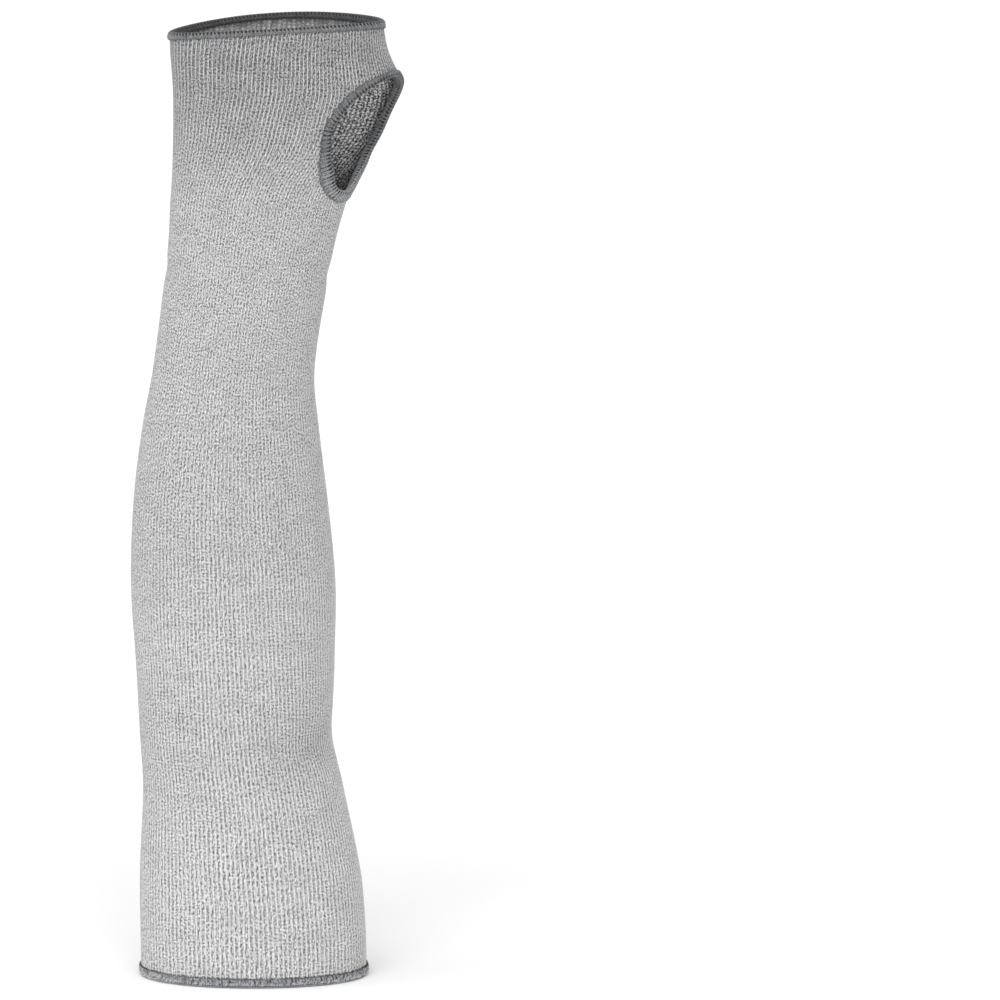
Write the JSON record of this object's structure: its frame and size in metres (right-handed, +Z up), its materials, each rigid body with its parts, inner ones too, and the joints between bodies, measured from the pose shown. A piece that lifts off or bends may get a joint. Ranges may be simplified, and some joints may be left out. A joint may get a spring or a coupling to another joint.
{
  "type": "sleeve protector",
  "caption": "Seamless knitted arm sleeve with a thumb hole and overlocked edges, shaped as worn, that covers the arm from palm to upper arm and guards it from cuts and scrapes.",
  "frame": {"origin": "centre of the upper-arm opening, level with its lower edge, where the arm goes in", "axes": "+Z up the arm from the upper-arm opening to the hand opening, -Y the front that the picture shows, +X the thumb's side"},
  "size_m": [0.1306, 0.0937, 0.4584],
  "materials": {
    "heather_knit": "matt light-grey heather knit",
    "overlock_thread": "dark-grey textured overlock thread"
  },
  "bodies": {
    "root": {"knit_tube": "heather_knit", "arm_edge_overlock": "overlock_thread", "hand_edge_overlock": "overlock_thread", "thumb_hole_overlock": "overlock_thread"}
  },
  "joints": []
}
